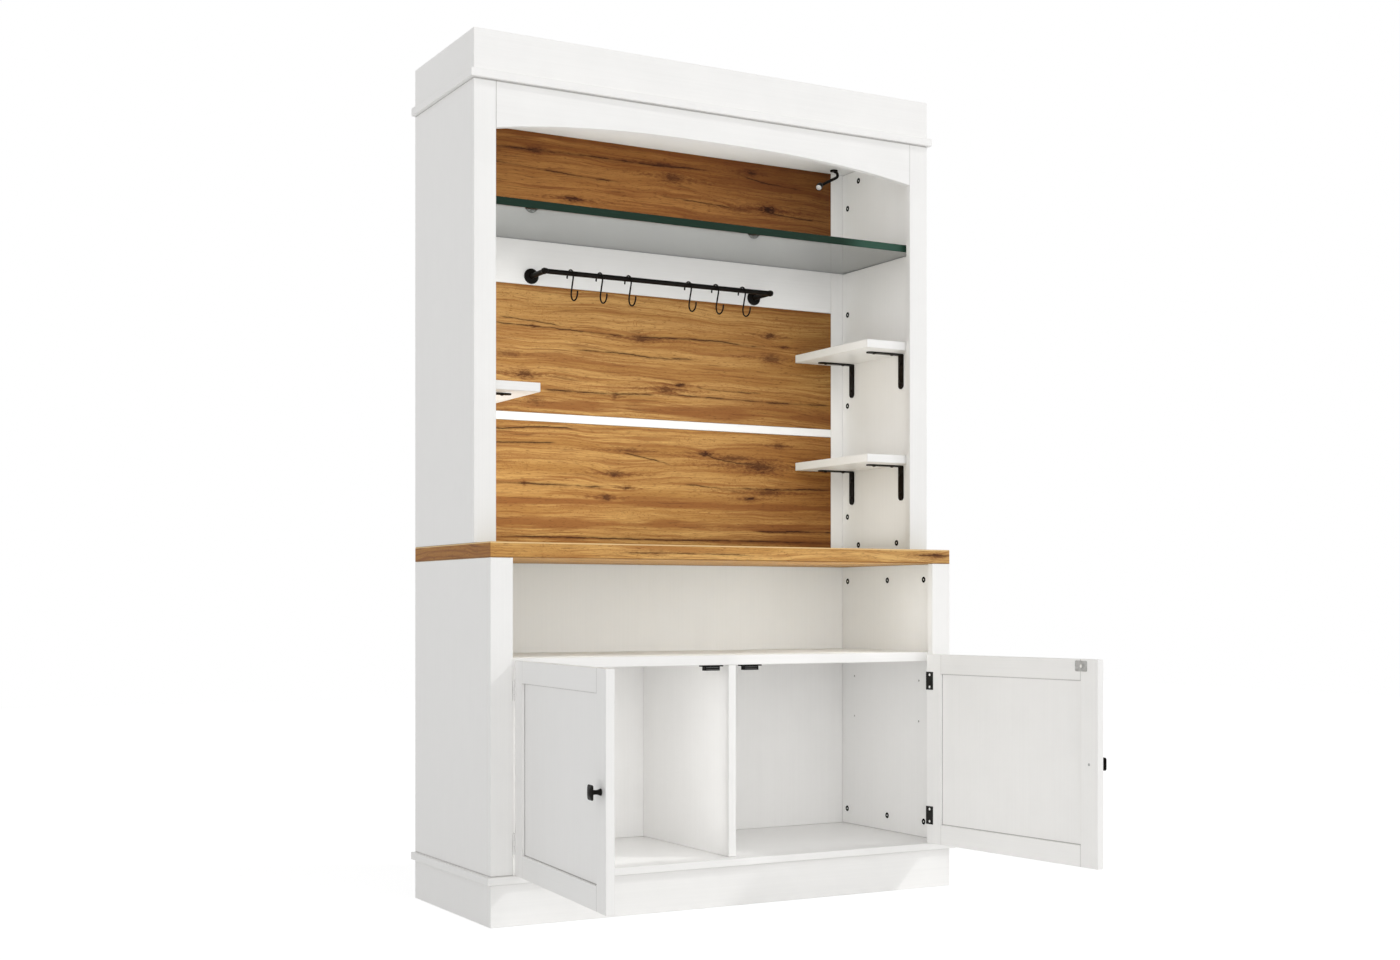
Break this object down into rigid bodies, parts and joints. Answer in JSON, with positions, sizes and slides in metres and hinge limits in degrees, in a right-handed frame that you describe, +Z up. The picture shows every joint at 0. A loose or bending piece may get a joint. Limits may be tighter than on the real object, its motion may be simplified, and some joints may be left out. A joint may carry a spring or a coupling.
{
  "type": "buffet cabinet with hutch",
  "caption": "Free-standing white buffet and bar hutch with wood worktop and back, glass shelf, small side shelves, hanging rail with hooks, and a cupboard with framed hinged doors.",
  "frame": {"origin": "middle of the underside of the front plinth board, on the floor", "axes": "+Z up; the doors face -Y; +X to the right seen from the front"},
  "size_m": [1.2544, 1.0007, 1.924],
  "materials": {
    "white_paint": "smooth satin white paint on board",
    "door_paint": "smooth satin white paint on board",
    "oak_effect": "warm brown oak grain with knots, satin",
    "shelf_glass": "clear float glass with a dark green edge",
    "black_metal": "black powder coat",
    "knob_metal": "satin black",
    "hinge_metal": "black, with bright screws",
    "catch_plastic": "matt black",
    "lamp_metal": "satin black, bright lens"
  },
  "bodies": {
    "cabinet": {"plinth_front": "white_paint", "plinth_left": "white_paint", "plinth_right": "white_paint", "bottom_board": "white_paint", "base_side_left": "white_paint", "base_side_right": "white_paint", "base_stile_left": "white_paint", "base_stile_right": "white_paint", "base_back_panel": "white_paint", "base_divider": "white_paint", "base_shelf": "white_paint", "countertop": "oak_effect", "hutch_side_left": "white_paint", "hutch_side_right": "white_paint", "hutch_stile_left": "white_paint", "hutch_stile_right": "white_paint", "arched_valance": "white_paint", "hutch_top_board": "white_paint", "crown_frieze": "white_paint", "back_panel_upper": "oak_effect", "back_rail_board": "white_paint", "back_panel_middle": "oak_effect", "back_batten": "white_paint", "back_panel_lower": "oak_effect", "back_post_left": "white_paint", "back_post_right": "white_paint", "glass_shelf": "shelf_glass", "side_shelf_left": "white_paint", "side_shelf_right_upper": "white_paint", "side_shelf_right_lower": "white_paint", "bracket_left_front": "black_metal", "bracket_left_rear": "black_metal", "bracket_right_lower_front": "black_metal", "bracket_right_lower_rear": "black_metal", "bracket_right_upper_front": "black_metal", "bracket_right_upper_rear": "black_metal", "hook_rail": "black_metal", "left_magnetic_catch": "catch_plastic", "right_magnetic_catch": "catch_plastic", "spot_lamp": "lamp_metal", "left_lower_hinge_frame_leaf": "hinge_metal", "left_upper_hinge_frame_leaf": "hinge_metal", "right_lower_hinge_frame_leaf": "hinge_metal", "right_upper_hinge_frame_leaf": "hinge_metal"},
    "left_door": {"left_door_frame": "door_paint", "left_door_panel": "door_paint", "left_door_knob": "knob_metal", "left_lower_hinge_door_leaf": "hinge_metal", "left_upper_hinge_door_leaf": "hinge_metal"},
    "right_door": {"right_door_frame": "door_paint", "right_door_panel": "door_paint", "right_door_knob": "knob_metal", "right_lower_hinge_door_leaf": "hinge_metal", "right_upper_hinge_door_leaf": "hinge_metal"},
    "hook_1": {"s_hook_1": "black_metal"},
    "hook_2": {"s_hook_2": "black_metal"},
    "hook_3": {"s_hook_3": "black_metal"},
    "hook_4": {"s_hook_4": "black_metal"},
    "hook_5": {"s_hook_5": "black_metal"},
    "hook_6": {"s_hook_6": "black_metal"}
  },
  "joints": [
    {"name": "left_door_hinge", "type": "hinge", "parent": "cabinet", "child": "left_door", "pos_m": [-0.547, -0.0106, 0.3375], "axis": [0, 0, -1], "range_deg": [-95.5, 74.5]},
    {"name": "right_door_hinge", "type": "hinge", "parent": "cabinet", "child": "right_door", "pos_m": [0.547, -0.0106, 0.3375], "axis": [0, 0, 1], "range_deg": [-95.9, 74.1]},
    {"name": "hook_1_swing", "type": "hinge", "parent": "cabinet", "child": "hook_1", "pos_m": [-0.2452, 0.3517, 1.469], "axis": [1, 0, 0], "range_deg": [-40, 40]},
    {"name": "hook_2_swing", "type": "hinge", "parent": "cabinet", "child": "hook_2", "pos_m": [-0.1682, 0.3517, 1.469], "axis": [1, 0, 0], "range_deg": [-40, 40]},
    {"name": "hook_3_swing", "type": "hinge", "parent": "cabinet", "child": "hook_3", "pos_m": [-0.0912, 0.3517, 1.469], "axis": [1, 0, 0], "range_deg": [-40, 40]},
    {"name": "hook_4_swing", "type": "hinge", "parent": "cabinet", "child": "hook_4", "pos_m": [0.0745, 0.3517, 1.469], "axis": [1, 0, 0], "range_deg": [-40, 40]},
    {"name": "hook_5_swing", "type": "hinge", "parent": "cabinet", "child": "hook_5", "pos_m": [0.1515, 0.3517, 1.469], "axis": [1, 0, 0], "range_deg": [-40, 40]},
    {"name": "hook_6_swing", "type": "hinge", "parent": "cabinet", "child": "hook_6", "pos_m": [0.2285, 0.3517, 1.469], "axis": [1, 0, 0], "range_deg": [-40, 40]}
  ]
}
